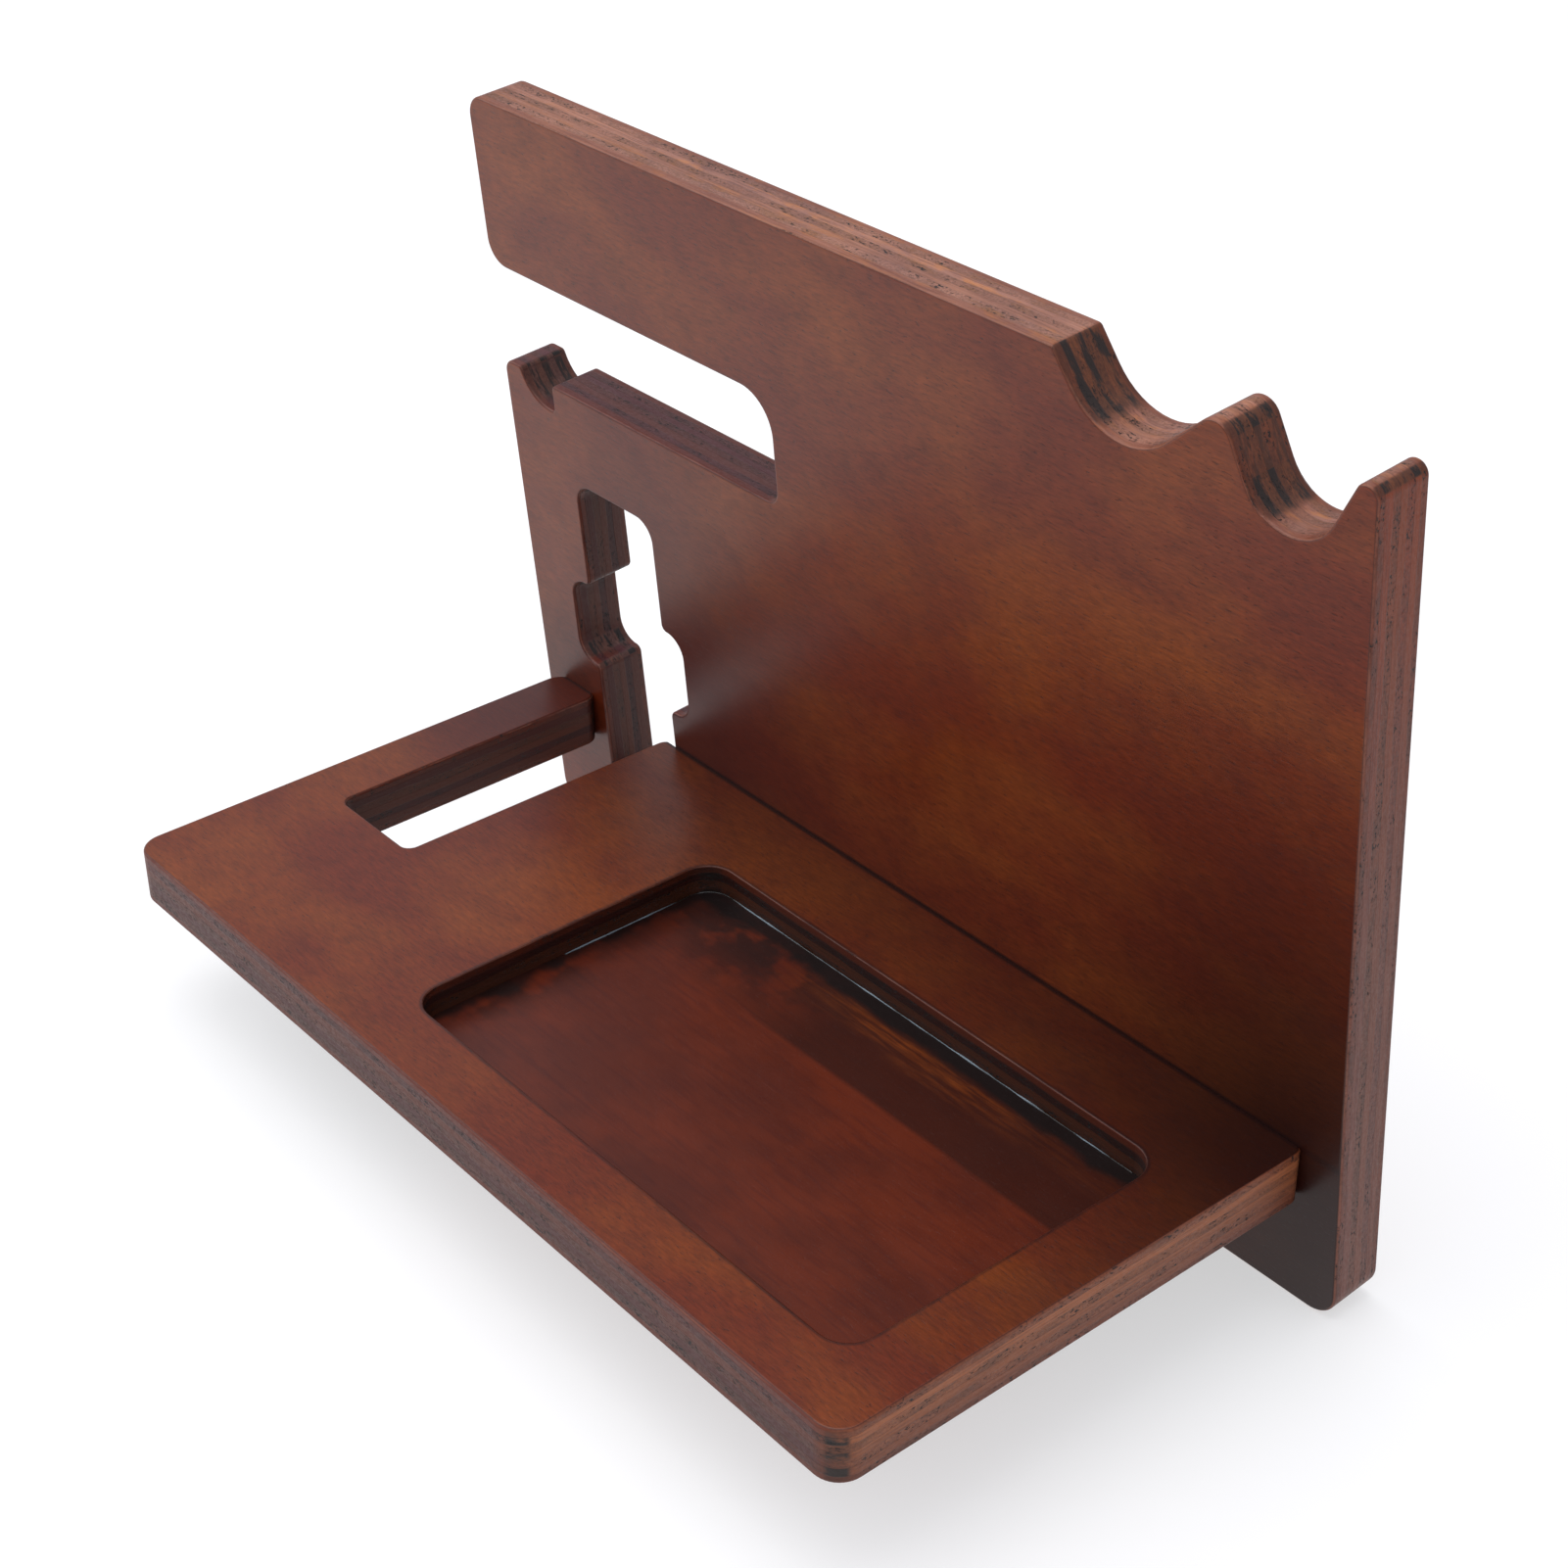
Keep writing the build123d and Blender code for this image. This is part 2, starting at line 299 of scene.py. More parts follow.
def plywood(name, place, patterns, shade_face, tint_edge):
    """Stained and varnished birch plywood for one board, drawn in that board's own directions."""
    material = bpy.data.materials.new(name)
    material.use_nodes = True
    tree = material.node_tree
    put = partial(add, tree)
    shader = tree.nodes["Principled BSDF"]
    turn = place["turn"]
    place_now = put("ShaderNodeTexCoord", out="Object")
    facing_now = put("ShaderNodeTexCoord", out="Normal")
    spot = put("ShaderNodeMapping", place_now, Location=place["shift"], Rotation=turn)
    facing = put("ShaderNodeMapping", facing_now, vector_type="VECTOR", Rotation=turn)
    along, depth, across = put("ShaderNodeSeparateXYZ", spot, out=slice(3))
    facing_x, facing_y, facing_z = put("ShaderNodeSeparateXYZ", facing, out=slice(3))
    fields = {"along": along, "depth": depth, "across": across}
    for number, (title, (width, longer, detail, rough)) in enumerate(patterns.items()):
        squeezed = [1 / amount for amount in longer]
        pulled = put("ShaderNodeMapping", spot, (number, number, number), None, squeezed)
        fields[title] = put("ShaderNodeTexNoise", pulled, 1 / (width * MM), detail, rough)

    # Which layer: the borders waver a little, as pressed layers do
    waver = put(RANGE, fields["waver"], 0.3, 0.7, -LAYER_WAVER, LAYER_WAVER)
    layer = put(MATH, put(MATH, depth, ply, operation="DIVIDE"), waver, **PLUS)
    wave = put(MATH, put(MATH, layer, math.pi, **TIMES), operation="SINE")
    crossing = put(RANGE, wave, 0.15, -0.15, 0, 1, **SOFT)
    tone = put("ShaderNodeTexWhiteNoise", put(MATH, layer, operation="FLOOR"), noise_dimensions="1D")

    # How far the surface cuts across this layer's fibres: 0 along them, 1 square to them
    end_on = put(MATH, facing_x, **SIZE)
    upward = put(MATH, facing_z, **SIZE)
    level = put(MATH, facing_y, **SIZE)
    cut = put(MIX, crossing, end_on, upward)
    slanted = put(RANGE, put(MATH, end_on, upward, **SMALLER), 0.30, 0.50, 0, 1, **SOFT)
    slanted = put(MATH, slanted, put(RANGE, facing_x, -0.3, 0.2, 0.3, 1.0), **TIMES)
    on_face = put(RANGE, level, 0.78, 0.96, 0, 1, **SOFT)
    fields.update({"end_on": end_on, "slanted": slanted})

    # Flat faces: red-brown with soft orange patches, short fine grain and small pores along the board
    orange = put(RANGE, fields["patches"], 0.38, 0.68, 0.0, 0.65, **SOFT)
    colour = put(MIX, orange, STAIN_AND_SHADE["red_brown"], STAIN_AND_SHADE["orange_brown"], **PAINT)
    thick = put(RANGE, fields["mottle"], 0.42, 0.75, 0.0, 0.3, **SOFT)
    colour = put(MIX, thick, colour, STAIN_AND_SHADE["wine"], **PAINT)
    light = put(RANGE, fields["grain"], 0.34, 0.66, 0.74, 1.26)
    grey = put("ShaderNodeCombineColor", light, light, light)
    colour = put(MIX, 1.0, colour, grey, blend_type="MULTIPLY", **PAINT)
    open_pores = put(RANGE, fields["pores"], 0.61, 0.70, 0.0, 0.55, **SOFT)
    colour = put(MIX, open_pores, colour, STAIN_AND_SHADE["pore"], **PAINT)
    colour = shade_face(put, fields, colour)

    # Cut edges: one tone for each way an edge faces, with streaks along the fibres
    edge = tint_edge(put, fields)
    fibres = put(MIX, crossing, fields["fibres_along"], fields["fibres_across"])
    streaks = put(RANGE, fibres, 0.40, 0.70, 0.0, 0.55, **SOFT)
    edge = put(MIX, streaks, edge, STAIN_AND_SHADE["wine"], **PAINT)
    edge = put(MIX, put(RANGE, tone, 0, 1, 0, 0.3), edge, STAIN_AND_SHADE["hook_brown"], **PAINT)
    first_layer = put(RANGE, depth, 2.4 * MM, 1.7 * MM)
    last_layer = put(RANGE, depth, 12.6 * MM, 13.3 * MM)
    skin = put(MATH, first_layer, last_layer, **LARGER)
    edge = put(MIX, put(MATH, skin, 0.4, **TIMES), edge, STAIN_AND_SHADE["red_brown"], **PAINT)

    # Open grain drinks stain: a little on square cuts, nearly black in blotches on the slanted ones
    patchy = put(RANGE, fields["soaked"], 0.38, 0.62, 0.0, 0.42)
    square = put(MATH, put(RANGE, cut, 0.3, 0.9), patchy, **TIMES)
    bands = put(MIX, crossing, 0.5, 1.0)
    blotches = put(RANGE, fields["soaked"], 0.38, 0.52, 0.3, 0.97, **SOFT)
    drunk = put(MIX, slanted, square, put(MATH, bands, blotches, **TIMES))
    edge = put(MIX, drunk, edge, STAIN_AND_SHADE["open_grain"], **PAINT)
    pitted = put(RANGE, fields["pitted"], 0.42, 0.56, 0, 1, **SOFT)
    rough_cut = put(MATH, put(RANGE, cut, 0.35, 0.8, 0, 1, **SOFT), pitted, **TIMES)
    pits = put(MATH, put(RANGE, fields["pits"], 0.57, 0.63, 0, 1, **SOFT), rough_cut, **TIMES)
    edge = put(MIX, pits, edge, STAIN_AND_SHADE["pocket_black"], **PAINT)
    border = put(RANGE, put(MATH, wave, **SIZE), 0.0, 0.2, 0.28, 0.0, **SOFT)
    edge = put(MIX, border, edge, STAIN_AND_SHADE["pore"], **PAINT)
    colour = put(MIX, on_face, edge, colour, **PAINT)

    # The rounded rims are rubbed a little paler, with a fine dark line on the face's side
    on_rim = put(MATH, put(RANGE, level, 0.30, 0.45), put(RANGE, level, 0.80, 0.65), **TIMES)
    rubbed = put(MATH, on_rim, put(RANGE, fields["rubbed"], 0.4, 0.65, 0.0, 0.22), **TIMES)
    colour = put(MIX, rubbed, colour, STAIN_AND_SHADE["rim_pale"], **PAINT)
    crease = put(RANGE, put(MATH, put(MATH, level, 0.88, **LESS), **SIZE), 0.08, 0.02, 0.0, 0.55)
    colour = put(MIX, crease, colour, STAIN_AND_SHADE["pore"], **PAINT)

    # Satin varnish: smooth on the faces, duller where open grain drank it
    shader.inputs["Specular IOR Level"].default_value = SPECULAR_LEVEL
    tree.links.new(colour, shader.inputs["Base Color"])
    smoothest = place["roughness"]
    face_roughness = put(RANGE, fields["mottle"], 0.3, 0.7, smoothest, smoothest + ROUGHNESS_SPREAD)
    edge_roughness = put(RANGE, fields["pits"], 0.4, 0.6, EDGE_SMOOTHEST, EDGE_ROUGHEST)
    tree.links.new(put(MIX, on_face, edge_roughness, face_roughness), shader.inputs["Roughness"])
    pit_dents = put(MATH, pits, -PIT_DEPTH, **TIMES)
    dips = put(MATH, pit_dents, put(MATH, open_pores, -PORE_DEPTH, **TIMES), **PLUS)
    swells = put(MATH, fields["grain"], GRAIN_HEIGHT, **TIMES)
    swells = put(MATH, fields["ripple"], RIPPLE_HEIGHT, swells, **TIMES_PLUS)
    ridge = put(MATH, crossing, RIDGE_HEIGHT, **TIMES)
    ridges = put(MATH, fields["fibres_across"], ridge, swells, **TIMES_PLUS)
    swells = put(MIX, on_face, ridges, swells)
    height = put(MATH, dips, swells, **PLUS)
    tree.links.new(put("ShaderNodeBump", Strength=1.0, Distance=1.0, Height=height), shader.inputs["Normal"])
    return material


# %% [markdown]
# The pocket was cut with a router, down through three layers and into the fourth. Its floor took the
# stain unevenly: nearly black along the rear and left walls where it pooled, an orange streak just in
# front, a dark band with a clean border where the next layer's joint runs, then plain red-brown. The
# pocket's floor is found in the frame as the flat part of the fourth layer that lies below its top.

# %% Pocket floor
FACING_UP = 0.99
POCKET_CORNER = 8 * MM
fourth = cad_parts["tray_ply_4"].data
fourth_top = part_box("tray_ply_4")[1].z
floor_points = [
    fourth.vertices[i].co
    for face in fourth.polygons
    if face.normal.z > FACING_UP and face.center.z < fourth_top - 0.2 * MM
    for i in face.vertices
]
pocket_low = Vector([min(p[k] for p in floor_points) for k in range(3)])
pocket_high = Vector([max(p[k] for p in floor_points) for k in range(3)])
pocket_size = pocket_high - pocket_low
print("pocket", [round(v / MM, 1) for v in pocket_size], "deep", round((tray_top - pocket_low.z) / MM, 2))


def pocket_stain(put, fields, colour):
    """Lays the pocket's own stain over the tray's, below the rim, and a fine line of painted shade along the
    rim.
    """
    sunk = put(RANGE, fields["depth"], 1.0 * MM, 2.5 * MM, 0, 1, **SOFT)
    on_floor = put(RANGE, fields["depth"], 7.2 * MM, 7.8 * MM, 0, 1)
    from_rear = put(MATH, pocket_high.y, fields["across"], **LESS)
    from_left = put(MATH, fields["along"], pocket_low.x, **LESS)
    wobble = put(RANGE, fields["edge"], 0.3, 0.7, -2.5 * MM, 2.5 * MM)
    rear = put(MATH, from_rear, wobble, **PLUS)
    left = put(MATH, from_left, wobble, **PLUS)
    past_left = put(RANGE, from_left, 35 * MM, 70 * MM, 0, 1, **SOFT)
    cloud = put(RANGE, fields["cloud"], 0.36, 0.62, 0, 1, **SOFT)
    floor_colour = put(MIX, cloud, STAIN_AND_SHADE["pocket_brown"], STAIN_AND_SHADE["pocket_red"], **PAINT)
    grain = put(RANGE, fields["router"], 0.42, 0.72, 0, 0.4, **SOFT)
    floor_colour = put(MIX, grain, floor_colour, STAIN_AND_SHADE["wine"], **PAINT)
    band = put(MATH, put(RANGE, from_rear, 29 * MM, 27.5 * MM), past_left, **TIMES)
    floor_colour = put(MIX, put(MATH, band, 0.8, **TIMES), floor_colour, STAIN_AND_SHADE["pocket_band"], **PAINT)
    streak = put(MATH, put(RANGE, rear, 15 * MM, 9 * MM), put(RANGE, rear, 4.5 * MM, 8 * MM), **TIMES)
    streak = put(MATH, streak, put(RANGE, fields["router"], 0.35, 0.6, 0.85, 0.1), **TIMES)
    streak = put(MATH, streak, past_left, **TIMES)
    streak = put(MATH, streak, put(RANGE, from_left, 135 * MM, 100 * MM, 0.15, 0.8), **TIMES)
    floor_colour = put(MIX, streak, floor_colour, STAIN_AND_SHADE["pocket_streak"], **PAINT)
    blots = put(RANGE, fields["blots"], 0.44, 0.58, 0, 0.75, **SOFT)
    corner = put(MATH, put(RANGE, rear, 32 * MM, 12 * MM), put(RANGE, from_left, 75 * MM, 35 * MM), **TIMES)
    beside = put(RANGE, left, 16 * MM, 4 * MM, 0, 0.8)
    blots = put(MATH, blots, put(MATH, corner, beside, **LARGER), **TIMES)
    floor_colour = put(MIX, blots, floor_colour, STAIN_AND_SHADE["pocket_black"], **PAINT)
    pooled_rear = put(RANGE, rear, 7.5 * MM, 4 * MM, 0, 0.92, **SOFT)
    pooled_left = put(RANGE, left, 5 * MM, 1.5 * MM, 0, 0.8, **SOFT)
    pooled = put(MATH, pooled_rear, pooled_left, **LARGER)
    floor_colour = put(MIX, pooled, floor_colour, STAIN_AND_SHADE["pocket_black"], **PAINT)
    inside = put(MIX, on_floor, STAIN_AND_SHADE["pocket_black"], floor_colour, **PAINT)
    colour = put(MIX, sunk, colour, inside, **PAINT)

    # A fine dark line of painted shade follows the rim, whose outline is a rectangle with round corners
    middle = (pocket_low + pocket_high) / 2
    half = (pocket_high - pocket_low) / 2
    outward_x = put(MATH, put(MATH, fields["along"], middle.x, **LESS), **SIZE)
    outward_x = put(MATH, outward_x, half.x - POCKET_CORNER, **LESS)
    outward_y = put(MATH, put(MATH, fields["across"], middle.y, **LESS), **SIZE)
    outward_y = put(MATH, outward_y, half.y - POCKET_CORNER, **LESS)
    past_x = put(MATH, outward_x, 0.0, **LARGER)
    past_y = put(MATH, outward_y, 0.0, **LARGER)
    past = put("ShaderNodeCombineXYZ", past_x, past_y, 0.0)
    round_corner = put("ShaderNodeVectorMath", past, operation="LENGTH", out="Value")
    within = put(MATH, put(MATH, outward_x, outward_y, **LARGER), 0.0, **SMALLER)
    from_wall = put(MATH, put(MATH, round_corner, within, **PLUS), POCKET_CORNER, **LESS)
    line = put(RANGE, put(MATH, put(MATH, from_wall, 0.4 * MM, **LESS), **SIZE), 0.8 * MM, 0.3 * MM)
    line = put(MATH, line, put(RANGE, fields["rubbed"], 0.3, 0.6, 0.85, 0.45), **TIMES)
    line = put(MATH, line, put(RANGE, fields["depth"], 2 * MM, 1 * MM), **TIMES)
    return put(MIX, line, colour, STAIN_AND_SHADE["pore"], **PAINT)


# %% [markdown]
# Shade is painted into the wood's colour in some places: the low right of the back board, the tray's rear
# and right, the spots beside the cut-out and by the finger, and the line where the boards meet are painted
# darker, from wine to nearly black-brown, where shade falls, and the walls of the openings are painted plum
# for the shade inside them. These are broad, soft changes, so plain ramps on the boards' own directions
# draw them. Each ramp gives the two places where it starts and ends, in millimetres from the middle of
# the joint between the boards, then its strength.

# %% Where shade is painted


def shade_back(put, fields, colour):
    """The back board's front face, with painted shade low on the right, beside the cut-out, by the finger
    and along the tray.
    """
    front = put(RANGE, fields["depth"], 6 * MM, 3 * MM)
    # Painted shade: darker towards the low right of the front face
    low = put(RANGE, fields["across"], 140 * MM, -10 * MM, 0, 1, **SOFT)
    right = put(RANGE, fields["along"], 50 * MM, 145 * MM, 0, 0.95, **SOFT)
    corner = put(MATH, low, right, **TIMES)
    colour = put(MIX, put(MATH, corner, front, **TIMES), colour, STAIN_AND_SHADE["deep_shade"], **PAINT)
    # Painted shade beside the cut-out
    cutout_shade = put(MATH, put(RANGE, fields["along"], -10 * MM, -70 * MM), front, **TIMES)
    cutout_shade = put(MATH, cutout_shade, put(RANGE, fields["across"], 110 * MM, 40 * MM), **TIMES)
    cutout_shade = put(MATH, cutout_shade, put(RANGE, fields["along"], -128 * MM, -100 * MM, 0, 0.7), **TIMES)
    colour = put(MIX, cutout_shade, colour, STAIN_AND_SHADE["wine"], **PAINT)
    from_tray = put(MATH, fields["across"], **SIZE)
    # Painted shadow beside the tray's finger
    finger_shadow = put(MATH, put(RANGE, fields["along"], -114 * MM, -128 * MM, 0, 0.4), front, **TIMES)
    finger_shadow = put(MATH, finger_shadow, put(RANGE, from_tray, 34 * MM, 8 * MM), **TIMES)
    colour = put(MIX, finger_shadow, colour, STAIN_AND_SHADE["deep_shade"], **PAINT)
    # Painted contact shadow where the tray meets the board
    contact_shadow = put(MATH, put(RANGE, from_tray, 1.4 * MM, 0.5 * MM), front, **TIMES)
    contact_shadow = put(MATH, contact_shadow, put(RANGE, fields["along"], -92 * MM, -88 * MM, 0, 0.9), **TIMES)
    return put(MIX, contact_shadow, colour, STAIN_AND_SHADE["deep_shade"], **PAINT)


def shade_tray(put, fields, colour):
    """The tray's top, with painted shade towards the rear and the right, by the finger and along the joint,
    and the pocket's own stain.
    """
    # Painted shade towards the rear and the right, below the back board
    rear = put(RANGE, fields["across"], -75 * MM, -10 * MM, 0, 1, **SOFT)
    right = put(RANGE, fields["along"], 20 * MM, 135 * MM, 0.42, 0.85, **SOFT)
    colour = put(MIX, put(MATH, rear, right, **TIMES), colour, STAIN_AND_SHADE["deep_shade"], **PAINT)
    # Painted shade along the right margin
    right_margin_shade = put(RANGE, fields["across"], -130 * MM, -60 * MM, 0, 0.45)
    right_margin_shade = put(MATH, put(RANGE, fields["along"], 105 * MM, 135 * MM), right_margin_shade, **TIMES)
    colour = put(MIX, right_margin_shade, colour, STAIN_AND_SHADE["deep_shade"], **PAINT)
    # Painted shade on the tray's finger towards the back board
    finger_shadow = put(RANGE, fields["across"], -90 * MM, -25 * MM, 0, 0.35)
    finger_shadow = put(MATH, put(RANGE, fields["along"], -118 * MM, -130 * MM), finger_shadow, **TIMES)
    colour = put(MIX, finger_shadow, colour, STAIN_AND_SHADE["wine"], **PAINT)
    # Painted contact shadow where the tray meets the back board
    contact_shadow = put(RANGE, fields["across"], -1.2 * MM, -0.4 * MM, 0, 0.9)
    colour = put(MIX, contact_shadow, colour, STAIN_AND_SHADE["deep_shade"], **PAINT)
    return pocket_stain(put, fields, colour)


def shade_rib(put, fields, colour):
    """The rib's faces have the plain stain."""
    return colour


def tint_back(put, fields):
    """Tan and orange on top, brown up the sides, dark on the hooks' flanks, and plum painted shade under the
    arm, inside the openings.
    """
    top = put(MIX, put(RANGE, fields["patches"], 0.35, 0.6), STAIN_AND_SHADE["top_plum"], STAIN_AND_SHADE["top_tan"], **PAINT)
    top = put(MIX, put(RANGE, fields["soaked"], 0.5, 0.66, 0, 0.7), top, STAIN_AND_SHADE["top_orange"], **PAINT)
    to_left = put(RANGE, fields["along"], -50 * MM, -140 * MM, 0, 0.5)
    top = put(MIX, to_left, top, STAIN_AND_SHADE["hollow_arc"], **PAINT)
    higher = put(RANGE, fields["across"], 60 * MM, 165 * MM)
    side = put(MIX, higher, STAIN_AND_SHADE["side_mauve"], STAIN_AND_SHADE["side_orange"], **PAINT)
    outside = put(MIX, fields["end_on"], top, side, **PAINT)
    outside = put(MIX, put(MATH, fields["slanted"], 0.8, **TIMES), outside, STAIN_AND_SHADE["hook_brown"], **PAINT)
    # Painted shade: the ledge and the walls of the opening under the arm are darker
    under_arm = put(RANGE, fields["across"], 132 * MM, 118 * MM)
    within = put(MATH, put(RANGE, fields["along"], -25 * MM, -40 * MM), under_arm, **TIMES)
    within = put(MATH, within, put(RANGE, fields["along"], -149 * MM, -147 * MM), **TIMES)
    hollow = put(MIX, fields["end_on"], STAIN_AND_SHADE["hollow_ledge"], STAIN_AND_SHADE["hollow_wall"], **PAINT)
    hollow = put(MIX, fields["slanted"], hollow, STAIN_AND_SHADE["hollow_arc"], **PAINT)
    return put(MIX, within, outside, hollow, **PAINT)


def tint_tray(put, fields):
    """Tan at the right side, wine along the front, both darker lower down, and plum painted shade inside the
    slot.
    """
    low = put(RANGE, fields["depth"], 3 * MM, 14 * MM, 0, 0.75)
    side = put(MIX, low, STAIN_AND_SHADE["tray_side_tan"], STAIN_AND_SHADE["tray_side_wine"], **PAINT)
    front = put(MIX, low, STAIN_AND_SHADE["tray_front"], STAIN_AND_SHADE["tray_front_low"], **PAINT)
    outside = put(MIX, fields["end_on"], front, side, **PAINT)
    # Painted shade inside the slot: its walls are plum, and the pocket's walls near-black
    in_width = put(RANGE, put(MATH, fields["along"], **SIZE), 134 * MM, 130 * MM)
    in_depth = put(RANGE, fields["across"], -134 * MM, -130 * MM)
    pocket_side = put(RANGE, fields["along"], pocket_low.x - 15 * MM, pocket_low.x - 5 * MM, 0, 0.8)
    hollow = put(MIX, pocket_side, STAIN_AND_SHADE["hollow_wall"], STAIN_AND_SHADE["pocket_black"], **PAINT)
    return put(MIX, put(MATH, in_width, in_depth, **TIMES), outside, hollow, **PAINT)


def tint_rib(put, fields):
    """Brown on every edge."""
    return put(MIX, fields["end_on"], STAIN_AND_SHADE["tray_front"], STAIN_AND_SHADE["side_mauve"], **PAINT)


print("painters ready")

# %% [markdown]
# The screws are zinc-plated steel: a cool, slightly cloudy metal, dulled by a fine crystal pattern that
# gives its highlights soft patches. The dowels are turned from plain beech, pale, flecked and matt,
# since glue rather than stain reaches them. Only the screws' heads show, from behind.

# %% Screws and dowels
ZINC_CRYSTAL = 0.6 * MM
BEECH_FLECK = 0.8 * MM
FLECK_LENGTH = 10
zinc = bpy.data.materials.new("zinc_plated_steel")
zinc.use_nodes = True
put = partial(add, zinc.node_tree)
zinc_shader = zinc.node_tree.nodes["Principled BSDF"]
zinc_shader.inputs["Metallic"].default_value = 1.0
crystals = put("ShaderNodeTexNoise", put("ShaderNodeTexCoord", out="Object"), 1 / ZINC_CRYSTAL, 3.0)
zinc_colour = put(MIX, crystals, linear("#c4c2b8"), linear("#a3a197"), **PAINT)
zinc.node_tree.links.new(zinc_colour, zinc_shader.inputs["Base Color"])
zinc.node_tree.links.new(put(RANGE, crystals, 0.3, 0.7, 0.28, 0.42), zinc_shader.inputs["Roughness"])

beech = bpy.data.materials.new("plain_beech")
beech.use_nodes = True
put = partial(add, beech.node_tree)
beech_shader = beech.node_tree.nodes["Principled BSDF"]
pulled = put("ShaderNodeMapping", put("ShaderNodeTexCoord", out="Object"), Scale=(1, 1 / FLECK_LENGTH, 1))
flecks = put("ShaderNodeTexNoise", pulled, 1 / BEECH_FLECK, 3.0)
beech_colour = put(MIX, put(RANGE, flecks, 0.4, 0.65), linear("#c79a68"), linear("#9c6f45"), **PAINT)
beech.node_tree.links.new(beech_colour, beech_shader.inputs["Base Color"])
beech.node_tree.links.new(put(RANGE, flecks, 0.3, 0.7, 0.55, 0.7), beech_shader.inputs["Roughness"])
print("made", zinc.name, "and", beech.name)

# %% [markdown]
# Every layer of a board shares that board's material, so the grain runs on unbroken from one layer to
# the next, as it would through one sheet. The tray lies flat and shows the sky, so its varnish looks a
# little softer.

# %% Give every node its finish
boards["back"]["roughness"] = 0.31
boards["tray"]["roughness"] = 0.33
boards["rib"]["roughness"] = 0.33
painters = {
    "back": (PATTERNS, shade_back, tint_back),
    "tray": ({**PATTERNS, **POCKET_PATTERNS}, shade_tray, tint_tray),
    "rib": (PATTERNS, shade_rib, tint_rib),
}
finishes = {"screws": zinc, "dowels": beech}
for board, place in boards.items():
    finishes[board] = plywood("stained_plywood_" + board, place, *painters[board])
for name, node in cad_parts.items():
    node.data.materials.clear()
    node.data.materials.append(finishes[name.split("_ply_")[0]])
print("finished", len(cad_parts), "nodes with", len(finishes), "materials")

# %% [markdown]
# Varnish ran down the pocket's walls and dried in a thin, uneven bead where they meet the floor. A bead
# follows a path, so Geometry Nodes suit it: a line along the rear and left walls becomes a curve, noise
# pushes it about and changes its thickness, and a small round profile is swept along it. The line is in
# the bead's own mesh, and the tree's inputs hold its sizes.

# %% Varnish bead in the pocket
BEAD_INSET = 0.3 * MM
LEFT_RUN = 6 * POCKET_CORNER
CORNER_STEPS = 10
DRIFT_LENGTH = 5 * MM
SWELLING_LENGTH = 7 * MM
THINNEST, THICKEST = 0.5, 1.3
RING_SIDES = 8
GLINT_PATCH = 16 * MM
bead_left = pocket_low.x + BEAD_INSET
bead_rear = pocket_high.y - BEAD_INSET
turn_middle = Vector((pocket_low.x + POCKET_CORNER, pocket_high.y - POCKET_CORNER, pocket_low.z))
turn_radius = POCKET_CORNER - BEAD_INSET
path = [Vector((bead_left, pocket_high.y - LEFT_RUN, pocket_low.z))]
for step in range(CORNER_STEPS + 1):
    angle = math.pi - step * math.pi / 2 / CORNER_STEPS
    path.append(turn_middle + turn_radius * Vector((math.cos(angle), math.sin(angle), 0)))
path.append(Vector((pocket_high.x - POCKET_CORNER, bead_rear, pocket_low.z)))
line = bpy.data.meshes.new("bead_line")
line.from_pydata(path, [(i, i + 1) for i in range(len(path) - 1)], [])

tree = bpy.data.node_groups.new("varnish_bead", "GeometryNodeTree")
BEAD_INPUTS = {
    "Line": ("NodeSocketGeometry", None),
    "Thickness": ("NodeSocketFloat", 0.24 * MM),
    "Wander": ("NodeSocketFloat", 0.35 * MM),
    "Spacing": ("NodeSocketFloat", 0.7 * MM),
    "Seed": ("NodeSocketFloat", 4.0),
    "Varnish": ("NodeSocketMaterial", None),
}
sockets = {}
for title, (kind, value) in BEAD_INPUTS.items():
    sockets[title] = tree.interface.new_socket(title, in_out="INPUT", socket_type=kind)
tree.interface.new_socket("Bead", in_out="OUTPUT", socket_type="NodeSocketGeometry")
put = partial(add, tree)
given = tree.nodes.new("NodeGroupInput").outputs
curve = put("GeometryNodeMeshToCurve", given["Line"])
curve = put("GeometryNodeResampleCurve", curve, mode="LENGTH", Length=given["Spacing"])
here = put("GeometryNodeInputPosition")
shifted = put("ShaderNodeCombineXYZ", given["Seed"], given["Seed"], given["Seed"])
here = put("ShaderNodeVectorMath", here, shifted, operation="ADD")
drift = put("ShaderNodeTexNoise", here, 1 / DRIFT_LENGTH, 3.0, out="Color")
drift = put("ShaderNodeVectorMath", drift, (0.5, 0.5, 0.5), operation="SUBTRACT")
drift = put("ShaderNodeVectorMath", drift, operation="SCALE", Scale=given["Wander"])
curve = put("GeometryNodeSetPosition", curve, Offset=drift)
swelling = put("ShaderNodeTexNoise", here, 1 / SWELLING_LENGTH, 4.0)
swelling = put(RANGE, swelling, 0.32, 0.68, THINNEST, THICKEST)
ring = put("GeometryNodeCurvePrimitiveCircle", Resolution=RING_SIDES, Radius=given["Thickness"])
tube = put("GeometryNodeCurveToMesh", curve, ring, swelling, True)
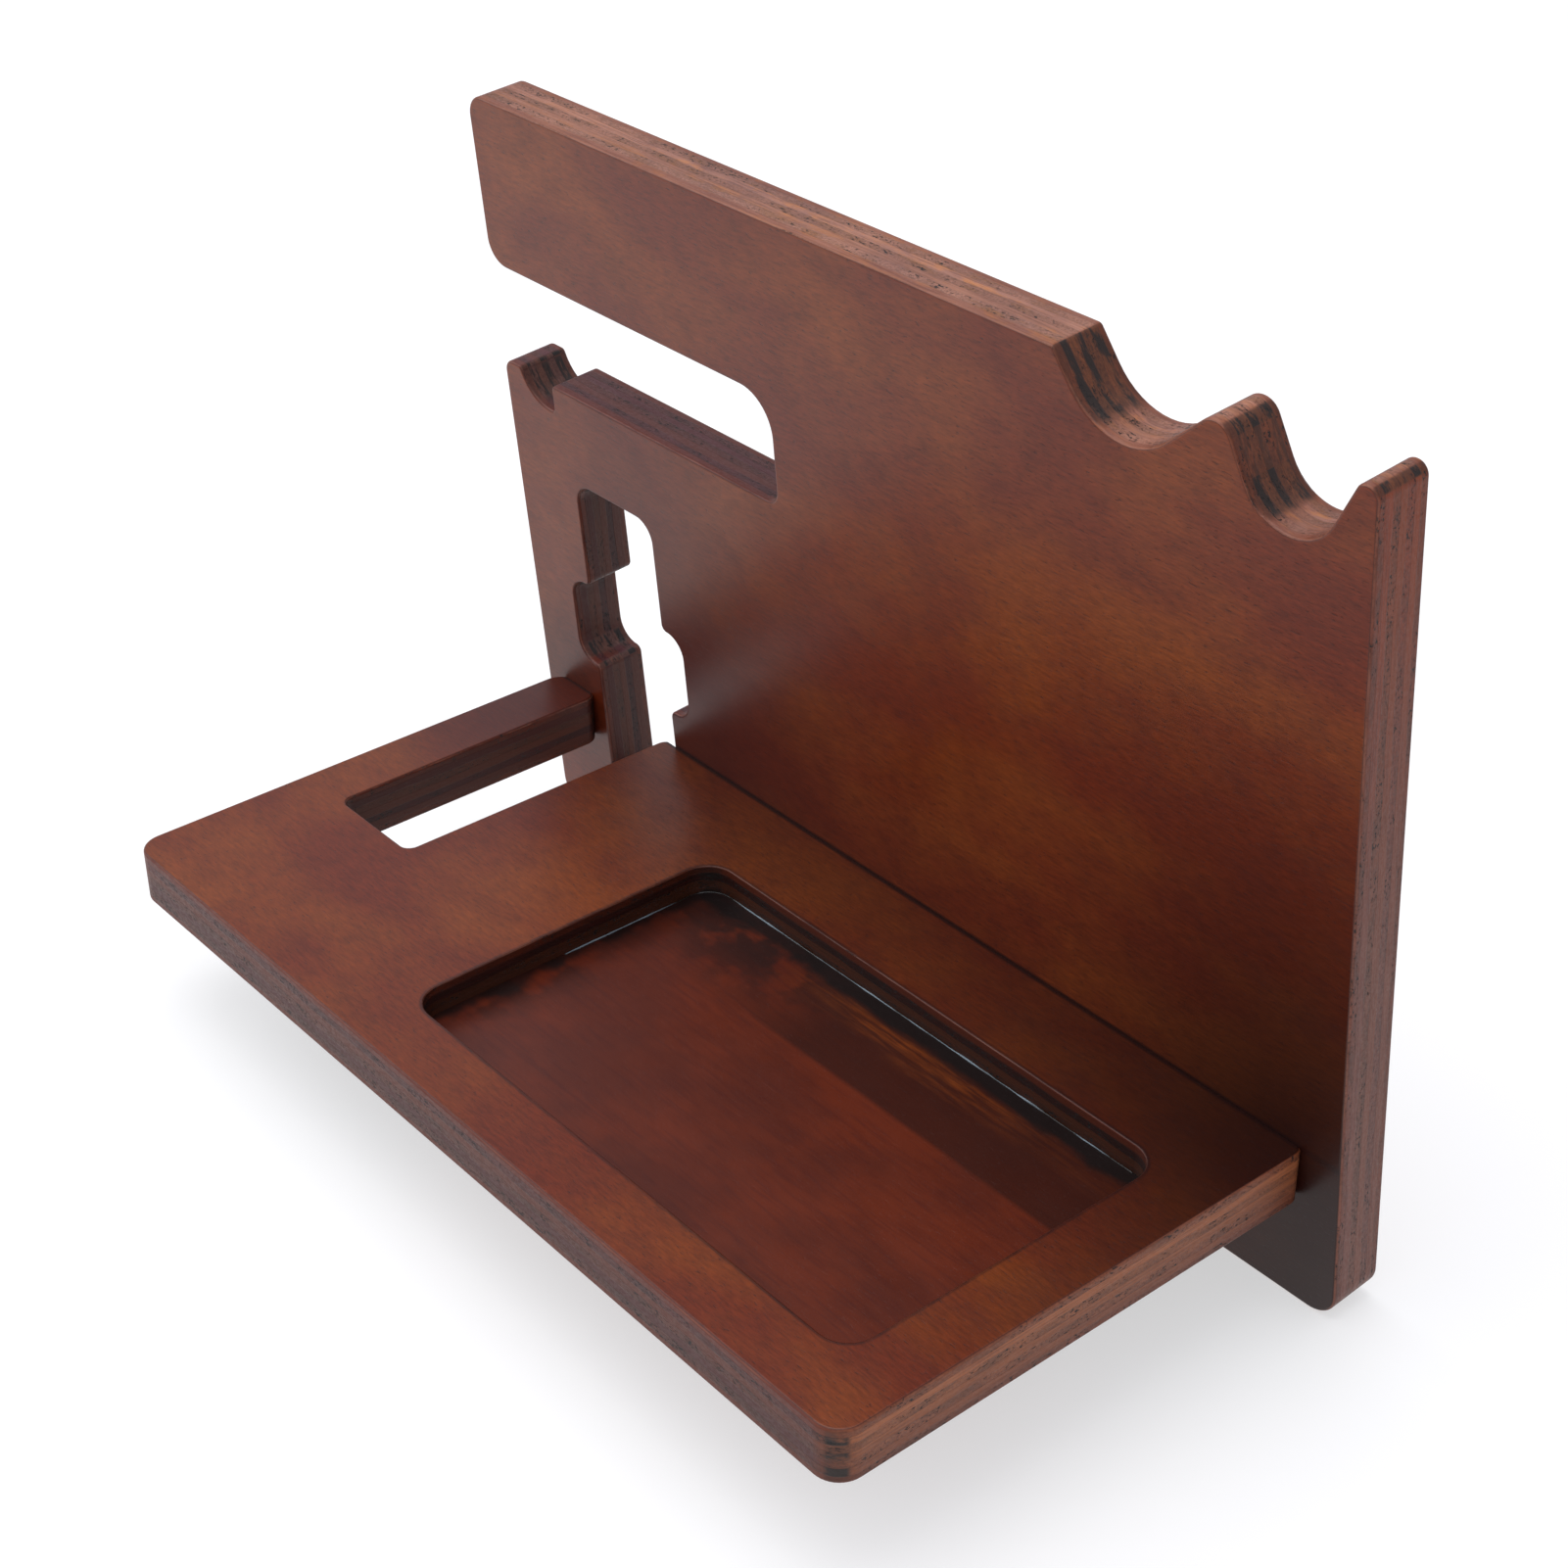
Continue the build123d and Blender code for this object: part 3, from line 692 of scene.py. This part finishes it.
tube = put("GeometryNodeSetShadeSmooth", tube)
tube = put("GeometryNodeRealizeInstances", tube)
tube = put("GeometryNodeSetMaterial", tube, Material=given["Varnish"])
tree.links.new(tube, tree.nodes.new("NodeGroupOutput").inputs["Bead"])

# Dried varnish: its pale grey-blue patches are a painted glint in the base colour, over dark varnish that
# stays smooth enough to show a fine bright line
varnish = bpy.data.materials.new("dried_varnish_and_painted_glint")
varnish.use_nodes = True
put = partial(add, varnish.node_tree)
varnish_shader = varnish.node_tree.nodes["Principled BSDF"]
glint_patches = put("ShaderNodeTexNoise", put("ShaderNodeTexCoord", out="Object"), 1 / GLINT_PATCH, 5.0)
varnish_and_glint_colour = put(MIX, put(RANGE, glint_patches, 0.40, 0.55), linear("#1d1715"), linear("#6f7b83"), **PAINT)
varnish.node_tree.links.new(varnish_and_glint_colour, varnish_shader.inputs["Base Color"])
varnish.node_tree.links.new(put(RANGE, glint_patches, 0.3, 0.7, 0.15, 0.3), varnish_shader.inputs["Roughness"])

maker = bpy.data.objects.new("bead_maker", line)
bpy.context.collection.objects.link(maker)
grow = maker.modifiers.new("bead", "NODES")
grow.node_group = tree
for title, (_, value) in BEAD_INPUTS.items():
    if value is not None:
        grow[sockets[title].identifier] = value
grow[sockets["Varnish"].identifier] = varnish
settled = maker.evaluated_get(bpy.context.evaluated_depsgraph_get())
bead_mesh = bpy.data.meshes.new_from_object(settled)
bpy.data.objects.remove(maker)
bead_mesh.name = "varnish_bead"
bead = bpy.data.objects.new("varnish_bead", bead_mesh)
bpy.context.collection.objects.link(bead)
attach(bead, "root")
print("bead:", len(bead_mesh.polygons), "faces,", [m.name for m in bead_mesh.materials])

# %% [markdown]
# Last, we compare the finished model's box with the frame's box and print how much it grew. Nothing
# made here may make the stand bigger.

# %% Compare sizes and finish
seen_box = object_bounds()
cad_values = [v for corner in cad_box for v in corner]
seen_values = [v for corner in seen_box for v in corner]
print("grew by", [round((seen - cad) / MM, 3) for seen, cad in zip(seen_values, cad_values)], "mm")
